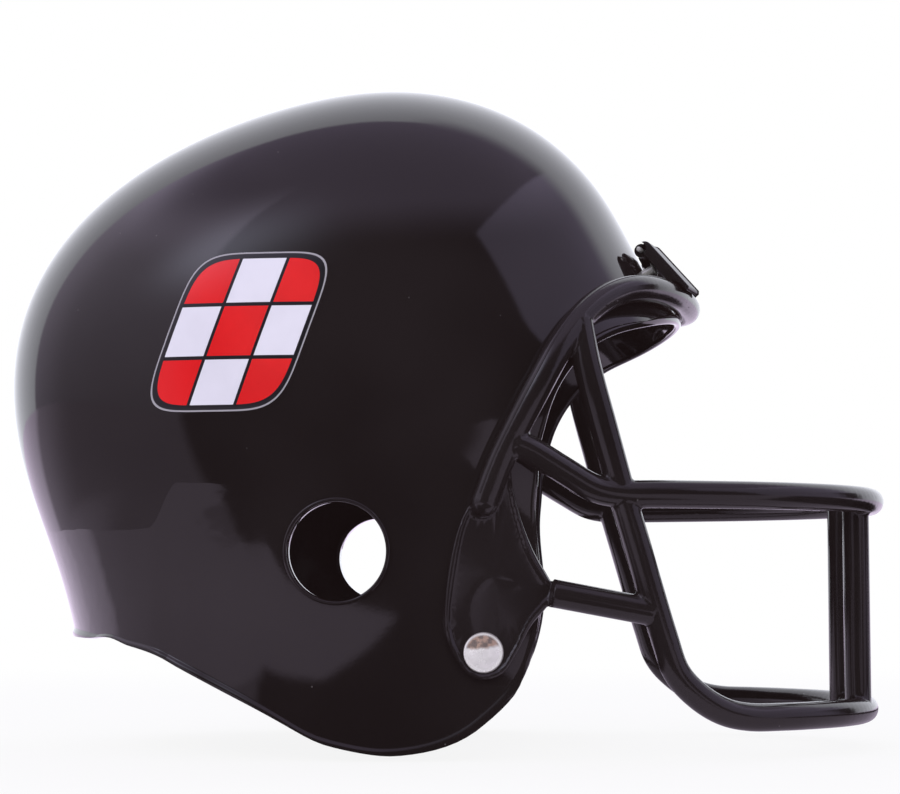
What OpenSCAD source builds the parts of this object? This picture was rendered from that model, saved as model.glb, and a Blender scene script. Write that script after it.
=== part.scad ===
// Sports helmet with a moulded face guard, two side studs and two brow clips.
// +X is forward, +Y is the wearer's left and +Z is up. The origin lies on the
// ground, below the middle of the helmet. Pieces are drawn from the ear axis.

/* [Shell] */
// Length of the shell at its widest level
shell_len = 225; // [215:1:240]
// Width of the shell over the temples
shell_w = 184; // [176:1:196]
// Height of the crown above the widest level
crown_h = 105; // [98:1:115]
// Height of the widest level above the ear axis
widest_z = 52; // [48:1:56]
// Distance of the shell's middle behind the ear axis
shell_back = 6; // [3:0.5:9]
// Wall of the moulded shell
shell_wall = 2.4; // [2:0.1:3]
// Radius of the rolled bead along the shell's edge
bead_r = 1.7; // [1.5:0.05:2]
// Side edge of the face opening, ahead of the ear axis
face_x = 61.2; // [59:0.2:63]
// Lowest edge of the cheek, below the ear axis
cheek_drop = 61.5; // [59:0.2:63]
// Edge beside the nape, below the ear axis
nape_drop = 27; // [25:0.2:29]

/* [Ear holes] */
// Radius of each ear hole
ear_r = 15.2; // [13:0.1:16]
// Width of the collar round each ear hole
collar_w = 1.3; // [1:0.1:2]
// How far the collar stands out of the shell's side
collar_out = 0.9; // [0.5:0.1:1.5]
// Length of each ear hole's straight bore
collar_len = 8; // [6:0.5:10]

/* [Face guard] */
// Diameter of the guard's bars
bar_d = 8.7; // [7.5:0.1:9.2]
// Front of the upper hoop, ahead of the ear axis
guard_x = 173.8; // [165:0.2:185]
// Height of the upper hoop above the ear axis
hoop_z = 17.8; // [14:0.2:21]
// Depth of the lower hoop below the ear axis
chin_drop = 51.4; // [48:0.2:56]
// Distance between the two upright front bars
upright_gap = 44; // [38:1:52]
// Room between the arch and the shell at the temples
temple_gap = 1.2; // [1.1:0.1:1.6]
// Room between the arch and the shell at the brow
brow_gap = 0.6; // [0.6:0.1:1.2]
// Room between each cheek plate and the shell
plate_gap = 0.9; // [0.85:0.05:1.2]
// Thickness of each cheek plate
plate_t = 2.4; // [2:0.1:3]
// Height of the border that is raised on each cheek plate
border_h = 0.7; // [0.4:0.1:1]
// How far the guard swings down, in degrees
swing = 35; // [20:1:40]

/* [Side studs] */
// Place of the stud ahead of the ear axis
stud_x = 44.8; // [43:0.2:46.6]
// Depth of the stud below the ear axis
stud_drop = 30.8; // [29:0.2:32]
// Diameter of the stud's cap
cap_d = 12.5; // [11:0.1:13.5]
// Height of the cap's dome
cap_h = 1.7; // [1.3:0.1:2.4]
// Diameter of the stud's post
post_d = 5; // [4:0.1:5.6]
// Diameter of the washer inside the shell
washer_d = 11; // [9:0.1:12]
// Thickness of the washer
washer_t = 0.8; // [0.6:0.1:1.2]

/* [Brow clips] */
// Distance between the middles of the two clips
clip_gap = 50; // [46:1:56]
// Angle of the clips' hinges above the arch, about the shell's middle
clip_rise = 9.7; // [9.3:0.1:10.2]
// Width of each clip
clip_w = 16; // [13:0.5:18]
// Thickness of the leaf that is riveted to the shell
leaf_t = 1.9; // [1.6:0.1:2]
// Length of the leaf below its hinge
leaf_len = 12; // [11:0.1:12.4]
// Thickness of the flap
flap_t = 3.4; // [3:0.1:4]
// Length of the flap from its hinge
flap_len = 21.4; // [20.5:0.1:22.5]
// Diameter of the hinge pin
pin_d = 1.6; // [1.2:0.1:1.8]
// Diameter of the rivet that holds the leaf
rivet_d = 3; // [2.4:0.1:3.4]

/* [Side labels] */
// Length of each printed vinyl label
label_len = 62; // [50:1:70]
// Height of each printed vinyl label
label_h = 50; // [40:1:56]
// Middle of the label behind the ear axis
label_back = 31; // [27:0.5:35]
// Middle of the label above the ear axis
label_z = 68; // [64:0.5:72]

/* [Hidden] */
$fn = 48;
BLACK = [0.09, 0.085, 0.09];
NICKEL = [0.78, 0.75, 0.7];
RED = [0.85, 0.08, 0.1];
EPS = 0.01;

// The shell's middle outline, as a share of its half length and crown height,
// every 20 degrees round its middle from straight ahead, over the crown.
OUTLINE = [1.21, 0.978, 1.048, 1.081, 1.038, 0.969, 0.957, 0.985, 1.013, 0.999, 0.975, 1.016,
    1.339, 2.483, 2.901, 1.998, 1.181, 1.142];
// How flat the sides are: 0 makes an ellipse, and 1 makes a box.
FLATNESS = 0.38;
// The edge on the centre line at the nape and at the brow, in degrees.
NAPE_A = 223.2;
BROW_A = 14.2;
half_len = shell_len / 2;
half_w = shell_w / 2;
bar_r = bar_d / 2;

// Value of a closed cubic spline through the outline's controls, at an angle.
function spline_weights(f) = [pow(1 - f, 3), 3 * pow(f, 3) - 6 * f * f + 4,
    -3 * pow(f, 3) + 3 * f * f + 3 * f + 1, pow(f, 3)] / 6;
function outline_at(a) =
    let (n = len(OUTLINE), t = (a + 360) * n / 360, i = floor(t), w = spline_weights(t - i))
    sum([for (k = [0:3]) w[k] * OUTLINE[(i + k - 1 + n) % n]]);
function sum(v, i = 0) = i < len(v) ? v[i] + sum(v, i + 1) : 0;
function unit(v) = v / norm(v);
function flip(p, side) = [p.x, side * p.y, p.z];

// Half the shell's width at a share of its outline, from the middle outwards.
function side_y(share, grow) =
    (half_w + grow) * sqrt(max(0, (1 - share * share) / (1 - FLATNESS * share * share)));
// A point of the skin by its angle and its turn from the ear towards the middle.
function skin(a, turn, grow = 0) =
    let (s = sin(turn) * outline_at(a))
    [(half_len + grow) * s * cos(a) - shell_back, side_y(sin(turn), grow) * sign(90.001 - turn),
     (crown_h + grow) * s * sin(a) + widest_z];
// The shell's half width over a place in the side view.
function over(x, z, grow = 0) =
    let (u = (x + shell_back) / (half_len + grow), v = (z - widest_z) / (crown_h + grow),
         share = norm([u, v]) / outline_at(atan2(v, u)))
    side_y(min(1, share), grow);
// The same place on a flat chart, whose middle is the side and whose rim is the centre line.
function chart(x, z) =
    let (u = (x + shell_back) / half_len, v = (z - widest_z) / crown_h, a = atan2(v, u))
    asin(min(1, norm([u, v]) / outline_at(a))) * [cos(a), sin(a)];
function rim(a) = 90 * [cos(a), sin(a)];
function off_chart(p, grow = 0) = skin(atan2(p.y, p.x), norm(p), grow);
// Turn from the ear at which the skin has a given distance from the centre line.
function turn_for(y) =
    let (k = pow(y / half_w, 2)) asin(sqrt((1 - k) / (1 - k * FLATNESS)));
function skin_normal(a, turn) =
    unit(cross(skin(a + 1, turn) - skin(a - 1, turn), skin(a, turn + 1) - skin(a, turn - 1)));

// A smooth curve through points, as Catmull-Rom pieces; the ends lean on phantom points.
function curve_at(p, t) =
    let (i = min(max(floor(t), 0), len(p) - 4), f = t - i)
    0.5 * (2 * p[i + 1] + (p[i + 2] - p[i]) * f
        + (2 * p[i] - 5 * p[i + 1] + 4 * p[i + 2] - p[i + 3]) * f * f
        + (3 * p[i + 1] - p[i] - 3 * p[i + 2] + p[i + 3]) * pow(f, 3));
function smooth(p, steps) =
    [for (k = [0:(len(p) - 3) * steps]) curve_at(p, k / steps)];
function with_ends(p) =
    let (n = len(p)) concat([2 * p[0] - p[1]], p, [2 * p[n - 1] - p[n - 2]]);
function closed(p) = let (n = len(p)) concat([p[n - 1]], p, [p[0], p[1]]);
function mirrored(p) = concat(p, [for (i = [len(p) - 2:-1:0]) flip(p[i], -1)]);

// The edge of the shell's sheet in the side view, from beside the nape, along the
// cheek and up the face opening to the temple.
EDGE = [[-80, 0.8 - nape_drop], [-66, -nape_drop - 1.6], [-52, -nape_drop - 6.5], [-27, -cheek_drop + 15.5],
    [-3, -cheek_drop + 3.4], [19, -cheek_drop + 0.4], [43.2, -cheek_drop + 8.6],
    [face_x - 3, -cheek_drop + 26.9], [face_x + 0.4, -8], [face_x - 0.8, 18], [face_x + 1, 36],
    [face_x + 5.5, 50], [face_x + 13, 61.5], [face_x + 23, 69.5], [face_x + 36, 74.7]];
edge_chart = [for (p = EDGE) chart(p.x, p.y)];
last = len(EDGE) - 1;
function past_rim(p) = unit(p) * (180 - norm(p));
edge_route = concat([past_rim(edge_chart[0]), rim(NAPE_A)], edge_chart,
    [rim(BROW_A), past_rim(edge_chart[last])]);
// Along the edge: 0 is the nape, 1 its corner, last + 1 the brow's corner, last + 2 the brow.
function edge(t) = curve_at(edge_route, t);

// The sheet is a grid of ribs: each runs from the right edge over the crown to the left.
RIBS = 44;
CROSS = 12;
function patch(q, s) =
    let (side = edge(1 + q * last), crown = rim(NAPE_A + q * (BROW_A - NAPE_A)),
         back = edge(1 - s), front = edge(1 + last + s))
    (1 - s) * side + s * crown + (1 - q) * back + q * front
        - (1 - s) * ((1 - q) * edge(1) + q * edge(1 + last))
        - s * ((1 - q) * rim(NAPE_A) + q * rim(BROW_A));
function sheet_point(i, j, grow) =
    let (s = 1 - abs(j - CROSS) / CROSS, p = off_chart(patch(i / RIBS, s), grow))
    j < CROSS ? flip(p, -1) : p;
columns = 2 * CROSS + 1;
function loop_cells() = concat(
    [for (i = [0:RIBS - 1]) [i, 0]], [for (j = [0:2 * CROSS - 1]) [RIBS, j]],
    [for (i = [RIBS:-1:1]) [i, 2 * CROSS]], [for (j = [2 * CROSS:-1:1]) [0, j]]);
// Turns of the bead's section, from the outer skin round to the inner one.
BEAD_TURNS = [90, 45, 0, -45, -90];

module sheet_with_bead() {
    outer = [for (i = [0:RIBS], j = [0:2 * CROSS]) sheet_point(i, j, 0)];
    inner = [for (i = [0:RIBS], j = [0:2 * CROSS]) sheet_point(i, j, -shell_wall)];
    cells = loop_cells();
    count = len(cells);
    index = [for (c = cells) c[0] * columns + c[1]];
    sink = sqrt(bead_r * bead_r - shell_wall * shell_wall / 4);
    bead = [for (turn = BEAD_TURNS, k = [0:count - 1])
        let (out = outer[index[k]], mid = (out + inner[index[k]]) / 2,
             along = outer[index[(k + 1) % count]] - outer[index[(k + count - 1) % count]],
             up = unit(out - mid), away = unit(cross(along, up)))
        mid + away * (sink + bead_r * cos(turn)) + up * bead_r * sin(turn)];
    total = len(outer);
    rings = concat([index], [for (r = [0:len(BEAD_TURNS) - 1])
        [for (k = [0:count - 1]) 2 * total + r * count + k]], [[for (k = index) k + total]]);
    polyhedron(concat(outer, inner, bead), concat(
        [for (i = [0:RIBS - 1], j = [0:2 * CROSS - 1], f = cell_faces(i, j, 0, false)) f],
        [for (i = [0:RIBS - 1], j = [0:2 * CROSS - 1], f = cell_faces(i, j, total, true)) f],
        ring_faces(rings, count)), convexity = 8);
}
function cell_faces(i, j, base, inside) =
    let (a = base + i * columns + j, b = a + 1, c = b + columns, d = a + columns)
    inside ? [[a, d, c], [a, c, b]] : [[a, b, c], [a, c, d]];
function ring_faces(rings, count) =
    [for (r = [0:len(rings) - 2], k = [0:count - 1])
        let (n = (k + 1) % count, a = rings[r][k], b = rings[r][n],
             c = rings[r + 1][n], d = rings[r + 1][k])
        each [[a, b, c], [a, c, d]]];

// Where the helmet stands: the ear axis is lifted and moved so that the origin is
// at the middle of its length, on the ground.
RIM_STEPS = 96;
lowest = min([for (k = [0:RIM_STEPS]) off_chart(edge(1 + last * k / RIM_STEPS)).z]);
rearmost = min([for (a = [120:1:220]) skin(a, 90).x]);
ear_z = bead_r + sqrt(bead_r * bead_r - shell_wall * shell_wall / 4) - lowest;
ear_x = -(guard_x + bar_r + rearmost) / 2;
module placed() translate([ear_x, 0, ear_z]) children();

// A round bar swept along points; each ring has its own radius.
function bar_rings(path, radii, sides, lean) =
    [for (i = [0:len(path) - 1])
        let (along = path[min(i + 1, len(path) - 1)] - path[max(i - 1, 0)],
             u = unit(cross(along, lean)), v = unit(cross(u, along)))
        for (k = [0:sides - 1])
            path[i] + radii[i] * (u * cos(360 * k / sides) + v * sin(360 * k / sides))];
module bar(path, radii, lean, sides = 10) {
    rings = len(path);
    polyhedron(bar_rings(path, radii, sides, lean), concat(
        [[for (k = [sides - 1:-1:0]) k]],
        [[for (k = [0:sides - 1]) (rings - 1) * sides + k]],
        [for (i = [0:rings - 2], k = [0:sides - 1])
            let (a = i * sides + k, b = i * sides + (k + 1) % sides)
            each [[a, b, b + sides], [a, b + sides, a + sides]]]), convexity = 6);
}
// A path whose two ends are rounded off, and the radii of its rings.
ROUND_TURNS = [75, 40];
function rounded_path(p) =
    let (n = len(p), d0 = unit(p[0] - p[1]), d1 = unit(p[n - 1] - p[n - 2]))
    concat([for (a = ROUND_TURNS) p[0] + d0 * bar_r * sin(a)], p,
        [for (i = [len(ROUND_TURNS) - 1:-1:0]) p[n - 1] + d1 * bar_r * sin(ROUND_TURNS[i])]);
function rounded_radii(n) =
    let (tip = [for (a = ROUND_TURNS) bar_r * cos(a)])
    concat(tip, [for (i = [1:n]) bar_r], [tip[1], tip[0]]);

// The arch over the face opening, in the side view, and its room from the shell.
ARCH = [[48.5, 15], [51.5, 28], [56.5, 40], [62.5, 52], [69, 64], [77, 75], [86, 82], [96.5, 85.2]];
// Its middle, and a place beside the clip, by their angles round the shell's middle.
ARCH_BROW_A = 16.1;
ARCH_CLIP = [27, 17.4];
function arch_room(z) =
    let (f = min(1, max(0, (z - 40) / 42))) temple_gap + (brow_gap - temple_gap) * f;
function arch_side(p) =
    let (grow = bar_r + arch_room(p.y)) [p.x, -over(p.x, p.y, grow), p.y];
arch_half = concat([for (p = ARCH) arch_side(p)],
    [flip(skin(ARCH_CLIP[1], turn_for(ARCH_CLIP[0]), bar_r + brow_gap / 2), -1),
    skin(ARCH_BROW_A, 90, bar_r + brow_gap)]);
arch_points = mirrored(arch_half);
// The arch's middle line at a given distance from the centre plane.
ARCH_SAMPLES = smooth(with_ends(arch_points), 8);
function arch_at(y) =
    let (i = max([for (k = [0:len(ARCH_SAMPLES) - 1]) ARCH_SAMPLES[k].y <= y ? k : 0]),
         a = ARCH_SAMPLES[i], b = ARCH_SAMPLES[i + 1], f = (y - a.y) / (b.y - a.y))
    a + f * (b - a);

// The upper hoop from the arch round the front, and the post that runs down from
// the arch and turns into the lower hoop.
hoop_half = [[52.5, -90, 34], [60, -88.5, 30.6], [70, -86, 24.5], [79, -83.5, 19.4],
    [88, -81, hoop_z], [99, -78, hoop_z], [guard_x - 62, -74, hoop_z],
    [guard_x - 42, -66, hoop_z], [guard_x - 26, -54.5, hoop_z], [guard_x - 13, -40, hoop_z],
    [guard_x - 4, -22, hoop_z], [guard_x, 0, hoop_z]];
post_half = [[74.5, -79.5, 71], [77, -81.8, 57], [82, -81.5, 38], [87.5, -80.5, 17.5],
    [92, -79.3, 2], [96.3, -78.5, -13], [100.3, -77.5, -26.5], [104, -76.2, -37],
    [110.4, -74.3, 7.2 - chin_drop], [118.4, -71.6, 2.2 - chin_drop],
    [127, -68, 0.2 - chin_drop], [guard_x - 36, -62, -chin_drop],
    [guard_x - 26, -53.5, -chin_drop], [guard_x - 14.5, -39.5, -chin_drop],
    [guard_x - 6.5, -22, -chin_drop], [guard_x - 2.8, 0, -chin_drop]];
upright_x = guard_x - 7.5;
STRUT_START = [65, -83, -12.6];
STRUT_END = [96.5, -78.5, -18.5];

// A rod between two points, with a ball at its start.
module tilted_rod(from, to, r) {
    d = to - from;
    translate(from) sphere(r, $fn = 32);
    translate(from) rotate([0, acos(d.z / norm(d)), atan2(d.y, d.x)]) cylinder(h = norm(d), r = r);
}

// The cheek plate: its outline in the side view, and a back that clears the shell
// all through the guard's swing about the studs.
PLATE = [[45.5, 24], [39.5, 13], [35.8, 2], [33.4, -13], [33.6, -26], [38.4, -35],
    [45.6, -38], [53, -31.6], [58.5, -22], [64, -16.8], [67.5, -12.5], [64.5, -7.8],
    [60, 0.5], [56.4, 10], [54, 19], [52.2, 28]];
PLATE_MIDDLE = [48, -8];
PLATE_SIDES = 36;
SWING_STEPS = 7;
// Rings of the plate: share of the outline, and height above its back.
plate_rings = [[0.45, plate_t], [0.84, plate_t], [0.88, plate_t + border_h],
    [0.96, plate_t + border_h], [1, plate_t], [1, 0], [0.5, 0]];
plate_route = closed(PLATE);
function swung(x, z, turn) =
    let (u = x - stud_x, v = z + stud_drop)
    [stud_x + u * cos(turn) + v * sin(turn), v * cos(turn) - u * sin(turn) - stud_drop];
function plate_back(x, z) = plate_gap + max([for (k = [0:SWING_STEPS])
    let (p = swung(x, z, swing * k / SWING_STEPS)) over(p.x, p.y)]);
function plate_point(share, height, k) =
    let (edge_p = curve_at(plate_route, k * len(PLATE) / PLATE_SIDES),
         p = PLATE_MIDDLE + share * (edge_p - PLATE_MIDDLE))
    [p.x, -plate_back(p.x, p.y) - height, p.y];
module cheek_plate() {
    rings = len(plate_rings);
    n = PLATE_SIDES;
    m = PLATE_MIDDLE;
    points = concat([for (r = plate_rings, k = [0:n - 1]) plate_point(r[0], r[1], k)],
        [[m.x, -plate_back(m.x, m.y) - plate_t, m.y], [m.x, -plate_back(m.x, m.y), m.y]]);
    polyhedron(points, concat(
        [for (k = [0:n - 1]) [rings * n, (k + 1) % n, k]],
        [for (k = [0:n - 1]) [rings * n + 1, (rings - 1) * n + k, (rings - 1) * n + (k + 1) % n]],
        [for (r = [0:rings - 2], k = [0:n - 1])
            let (a = r * n + k, b = r * n + (k + 1) % n)
            each [[a, b, b + n], [a, b + n, a + n]]]), convexity = 4);
}

// The stud: everything round its axis lies along Y, and its cap leans with the plate.
stud_shell_y = over(stud_x, -stud_drop);
stud_plate_y = plate_back(stud_x, -stud_drop);
STUD_FIT = 0.05;
BOSS_R = 6.5;
BOSS_OUT = 2;
REACH = 20;
cap_lean = atan((plate_back(stud_x + 1, -stud_drop) - plate_back(stud_x - 1, -stud_drop)) / 2);
boss_y = stud_shell_y - shell_wall - BOSS_OUT;
washer_y = boss_y - 0.15 - washer_t;
post_in = washer_y - 0.9;
post_out = stud_plate_y + plate_t + 0.7;
module on_side(side) placed() if (side > 0) mirror([0, 1, 0]) children(); else children();
// Draws children with their Z pointing outwards, along the stud's axis.
CAP_LIFT = 0.1;
CAP_PLAY = 0.3;
module cap_seat() along_stud(stud_plate_y + plate_t + CAP_LIFT) rotate([0, -cap_lean, 0]) children();
module along_stud(y) translate([stud_x, -y, -stud_drop]) rotate([90, 0, 0]) children();

module stud_boss()
    hull() {
        along_stud(boss_y) cylinder(h = 0.5, r = BOSS_R, $fn = 32);
        along_stud(stud_shell_y - 0.6 * shell_wall) rotate([0, -cap_lean, 0])
            cylinder(h = 0.1, r = BOSS_R, center = true, $fn = 32);
    }

// The collar's lip has sloped corners; its bore is cut through with the shell's.
COLLAR_SLOPE = 0.4;
module ear_collar() {
    out_r = ear_r + collar_w;
    in_r = ear_r - 0.5;
    translate([0, -over(0, 0) - collar_out, 0]) rotate([-90, 0, 0]) rotate_extrude()
        polygon([[in_r, COLLAR_SLOPE], [ear_r, COLLAR_SLOPE], [ear_r + COLLAR_SLOPE, 0],
            [out_r - COLLAR_SLOPE, 0], [out_r, COLLAR_SLOPE], [out_r, collar_len], [in_r, collar_len]]);
}

// Frame of a brow clip: X outwards from the shell, Y along the hinge, Z up the shell.
arch_spot = arch_at(-clip_gap / 2);
clip_a = clip_rise + atan2((arch_spot.z - widest_z) / crown_h, (arch_spot.x + shell_back) / half_len);
clip_turn = turn_for(clip_gap / 2);
clip_foot = flip(skin(clip_a, clip_turn), -1);
clip_out = flip(skin_normal(clip_a, clip_turn), -1);
clip_az = atan2(clip_out.y, clip_out.x);
clip_el = asin(clip_out.z);
clip_up = [-sin(clip_el) * cos(clip_az), -sin(clip_el) * sin(clip_az), cos(clip_el)];
module clip_frame() translate(clip_foot) rotate([0, -clip_el, clip_az]) children();
KNUCKLE_R = 1.9;
HINGE_OUT = 3.6;
FLAP_LEAN = 14.3;
LEAF_LIFT = 0.6;
PIN_FIT = 0.05;
SIDE_PLAY = 0.3;
BAR_PLAY = 0.25;
RIVET_DOWN = 6.8;
RIVET_HEAD_R = 2.6;
RIVET_HEAD_H = 0.8;
WASHER_IN = 1.1;
LUG_DOWN = 3.4;
TIP_RUN = 10;
knuckle_w = clip_w / 4;
bar_spot = arch_spot - clip_foot;
bar_local = [bar_spot * clip_out, 0, bar_spot * clip_up];

module across(w, r) translate([0, w / 2, 0]) rotate([90, 0, 0]) cylinder(h = w, r = r);

module clip_leaf_shape()
    difference() {
        union() {
            translate([LEAF_LIFT, -clip_w / 2, -leaf_len])
                cube([leaf_t, clip_w, leaf_len - KNUCKLE_R - SIDE_PLAY]);
            for (s = [-1, 1]) translate([0, s * (clip_w - knuckle_w) / 2, 0]) hull() {
                translate([HINGE_OUT, 0, 0]) across(knuckle_w, KNUCKLE_R);
                translate([LEAF_LIFT, -knuckle_w / 2, -LUG_DOWN]) cube([leaf_t, knuckle_w, LUG_DOWN]);
            }
        }
        translate([HINGE_OUT, 0, 0]) across(clip_w + 2, pin_d / 2);
        translate([0, 0, -RIVET_DOWN]) rotate([0, 90, 0])
            translate([0, 0, -1]) cylinder(h = REACH, r = rivet_d / 2);
    }

// The flap's side outline: X along the flap from its hinge, Y outwards.
flap_outline = [[0, 0], [flap_len, 0], [flap_len, flap_t - 0.6], [flap_len - 0.6, flap_t],
    for (a = [90:15:180]) [1.2 + 2.4 * cos(a), flap_t - 2.4 + 2.4 * sin(a)]];
module clip_flap_shape()
    difference() {
        union() {
            translate([HINGE_OUT, 0, 0]) rotate([0, 90 - FLAP_LEAN, 0]) rotate([-90, 0, 0])
                linear_extrude(clip_w, center = true) mirror([0, 1]) polygon(flap_outline);
            translate([HINGE_OUT, 0, 0])
                across(clip_w - 2 * knuckle_w - 2 * SIDE_PLAY, KNUCKLE_R);
        }
        for (s = [-1, 1]) translate([HINGE_OUT, s * (clip_w - knuckle_w) / 2, 0])
            across(knuckle_w + 2 * SIDE_PLAY, KNUCKLE_R + SIDE_PLAY);
        translate([HINGE_OUT, 0, 0]) across(clip_w + 2, pin_d / 2 + PIN_FIT);
        hull() for (run = [0, TIP_RUN]) translate(bar_local)
            translate([run * sin(FLAP_LEAN), 0, -run * cos(FLAP_LEAN)])
                across(clip_w + 2, bar_r + BAR_PLAY);
    }

module on_clip(side) on_side(side) clip_frame() children();

// A label: a thin skin over the shell's side, with sheared sides and round corners.
LABEL_SIDES = 40;
LABEL_LIFT = 0.15;
LABEL_T = 0.3;
LABEL_SHEAR = 0.35;
function label_place(share, k) =
    let (a = 360 * k / LABEL_SIDES, e = 0.4,
         u = label_len * (1 - LABEL_SHEAR * label_h / label_len) / 2 * sign(cos(a)) * pow(abs(cos(a)), e),
         v = label_h / 2 * sign(sin(a)) * pow(abs(sin(a)), e))
    [-label_back + share * (u + LABEL_SHEAR * v), label_z + share * v];
module label_skin() {
    rings = [[0.4, 1], [0.75, 1], [1, 1], [1, 0], [0.75, 0], [0.4, 0]];
    n = LABEL_SIDES;
    m = [-label_back, label_z];
    lift = [LABEL_LIFT, LABEL_LIFT + LABEL_T];
    points = concat([for (r = rings, k = [0:n - 1]) let (p = label_place(r[0], k))
        [p.x, -over(p.x, p.y, lift[r[1]]), p.y]],
        [[m.x, -over(m.x, m.y, lift[1]), m.y], [m.x, -over(m.x, m.y, lift[0]), m.y]]);
    polyhedron(points, concat(
        [for (k = [0:n - 1]) [len(rings) * n, (k + 1) % n, k]],
        [for (k = [0:n - 1]) [len(rings) * n + 1, (len(rings) - 1) * n + k,
            (len(rings) - 1) * n + (k + 1) % n]],
        [for (r = [0:len(rings) - 2], k = [0:n - 1])
            let (a = r * n + k, b = r * n + (k + 1) % n)
            each [[a, b, b + n], [a, b + n, a + n]]]), convexity = 4);
}

module shell()
    color(BLACK) placed() difference() {
        union() {
            sheet_with_bead();
            for (side = [0, 1]) mirror([0, side, 0]) {
                ear_collar();
                stud_boss();
            }
        }
        translate([0, shell_w, 0]) rotate([90, 0, 0]) cylinder(h = 2 * shell_w, r = ear_r);
        translate([stud_x, shell_w, -stud_drop]) rotate([90, 0, 0])
            cylinder(h = 2 * shell_w, r = post_d / 2 + STUD_FIT);
        for (side = [0, 1]) mirror([0, side, 0]) clip_frame()
            translate([-REACH / 2, 0, -RIVET_DOWN]) rotate([0, 90, 0])
                cylinder(h = REACH, r = rivet_d / 2 + STUD_FIT);
    }

module face_guard()
    color(BLACK) placed() difference() {
        union() {
            arch = smooth(with_ends(arch_points), 3);
            bar(rounded_path(arch), rounded_radii(len(arch)), [0.7, 0, -0.7]);
            hoop = smooth(with_ends(mirrored(hoop_half)), 2);
            bar(hoop, [for (p = hoop) bar_r], [0, 0, 1]);
            posts = smooth(with_ends(mirrored(post_half)), 2);
            bar(posts, [for (p = posts) bar_r], [1, 0, 0.35]);
            for (side = [-1, 1]) {
                tilted_rod(flip(STRUT_START, side), flip(STRUT_END, side), bar_r);
                translate([upright_x, side * upright_gap / 2, -chin_drop])
                    cylinder(h = hoop_z + chin_drop, r = bar_r);
            }
            cheek_plate();
            mirror([0, 1, 0]) cheek_plate();
        }
        translate([stud_x, shell_w, -stud_drop]) rotate([90, 0, 0])
            cylinder(h = 2 * shell_w, r = post_d / 2 + EPS);
        for (side = [0, 1]) mirror([0, side, 0]) cap_seat() cylinder(h = REACH, r = cap_d / 2 + CAP_PLAY);
    }

module stud_cap(side)
    color(NICKEL) on_side(side) difference() {
        cap_seat() rotate_extrude() {
                square([cap_d / 2 - 0.5, 0.9]);
                translate([cap_d / 2 - 0.5, 0.5]) circle(d = 1, $fn = 24);
                intersection() {
                    translate([0, 0.5]) square([cap_d / 2 - 0.5, cap_h]);
                    dome_r = (pow(cap_d / 2 - 0.5, 2) + pow(cap_h - 0.5, 2)) / (2 * (cap_h - 0.5));
                    translate([0, cap_h - dome_r]) circle(r = dome_r, $fn = 96);
                }
            }
        along_stud(post_in) cylinder(h = post_out - post_in + EPS, r = post_d / 2 + EPS);
    }

module stud_post(side)
    color(NICKEL) on_side(side) {
        along_stud(post_in) cylinder(h = post_out - post_in, r = post_d / 2);
        along_stud(post_in) cylinder(h = washer_y - post_in, r = post_d / 2 + 1);
    }

module stud_washer(side)
    color(NICKEL) on_side(side) along_stud(washer_y) difference() {
        cylinder(h = washer_t, d = washer_d);
        translate([0, 0, -1]) cylinder(h = washer_t + 2, r = post_d / 2 + STUD_FIT);
    }

module clip_leaf(side) color(BLACK) on_clip(side) clip_leaf_shape();

module clip_flap(side) color(BLACK) on_clip(side) clip_flap_shape();

module clip_pin(side)
    color(NICKEL) on_clip(side) translate([HINGE_OUT, 0, 0]) across(clip_w, pin_d / 2);

module clip_rivet(side)
    color(NICKEL) on_clip(side) translate([0, 0, -RIVET_DOWN]) rotate([0, 90, 0]) {
        translate([0, 0, -shell_wall - 1.9]) cylinder(h = LEAF_LIFT + leaf_t + shell_wall + 1.9 + 0.2,
            r = rivet_d / 2);
        translate([0, 0, LEAF_LIFT + leaf_t]) cylinder(h = RIVET_HEAD_H, r1 = RIVET_HEAD_R, r2 = 1.6);
    }

module clip_washer(side)
    color(NICKEL) on_clip(side) translate([-shell_wall - WASHER_IN, 0, -RIVET_DOWN]) rotate([0, 90, 0])
        difference() {
            cylinder(h = 0.8, r = 4);
            translate([0, 0, -1]) cylinder(h = 3, r = rivet_d / 2);
        }

module label(side) color(RED) on_side(side) label_skin();

shell();
face_guard();
stud_cap(-1);  // right_stud_cap
stud_cap(1);  // left_stud_cap
stud_post(-1);  // right_stud_post
stud_post(1);  // left_stud_post
stud_washer(-1);  // right_stud_washer
stud_washer(1);  // left_stud_washer
clip_leaf(-1);  // right_clip_leaf
clip_leaf(1);  // left_clip_leaf
clip_flap(-1);  // right_clip_flap
clip_flap(1);  // left_clip_flap
clip_pin(-1);  // right_clip_pin
clip_pin(1);  // left_clip_pin
clip_rivet(-1);  // right_clip_rivet
clip_rivet(1);  // left_clip_rivet
clip_washer(-1);  // right_clip_washer
clip_washer(1);  // left_clip_washer
label(-1);  // right_label
label(1);  // left_label
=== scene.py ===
"""Looks of the sports helmet: smooth moulded shell and face guard, studs, clips and labels."""
from math import acos, asin, atan2, cos, degrees, floor, hypot, pi, radians, sin, sqrt

import bpy
from bpy.props import FloatProperty, FloatVectorProperty, PointerProperty
from bpy.types import Operator, Panel, PropertyGroup
from mathutils import Matrix, Vector
from mathutils.bvhtree import BVHTree


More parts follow.
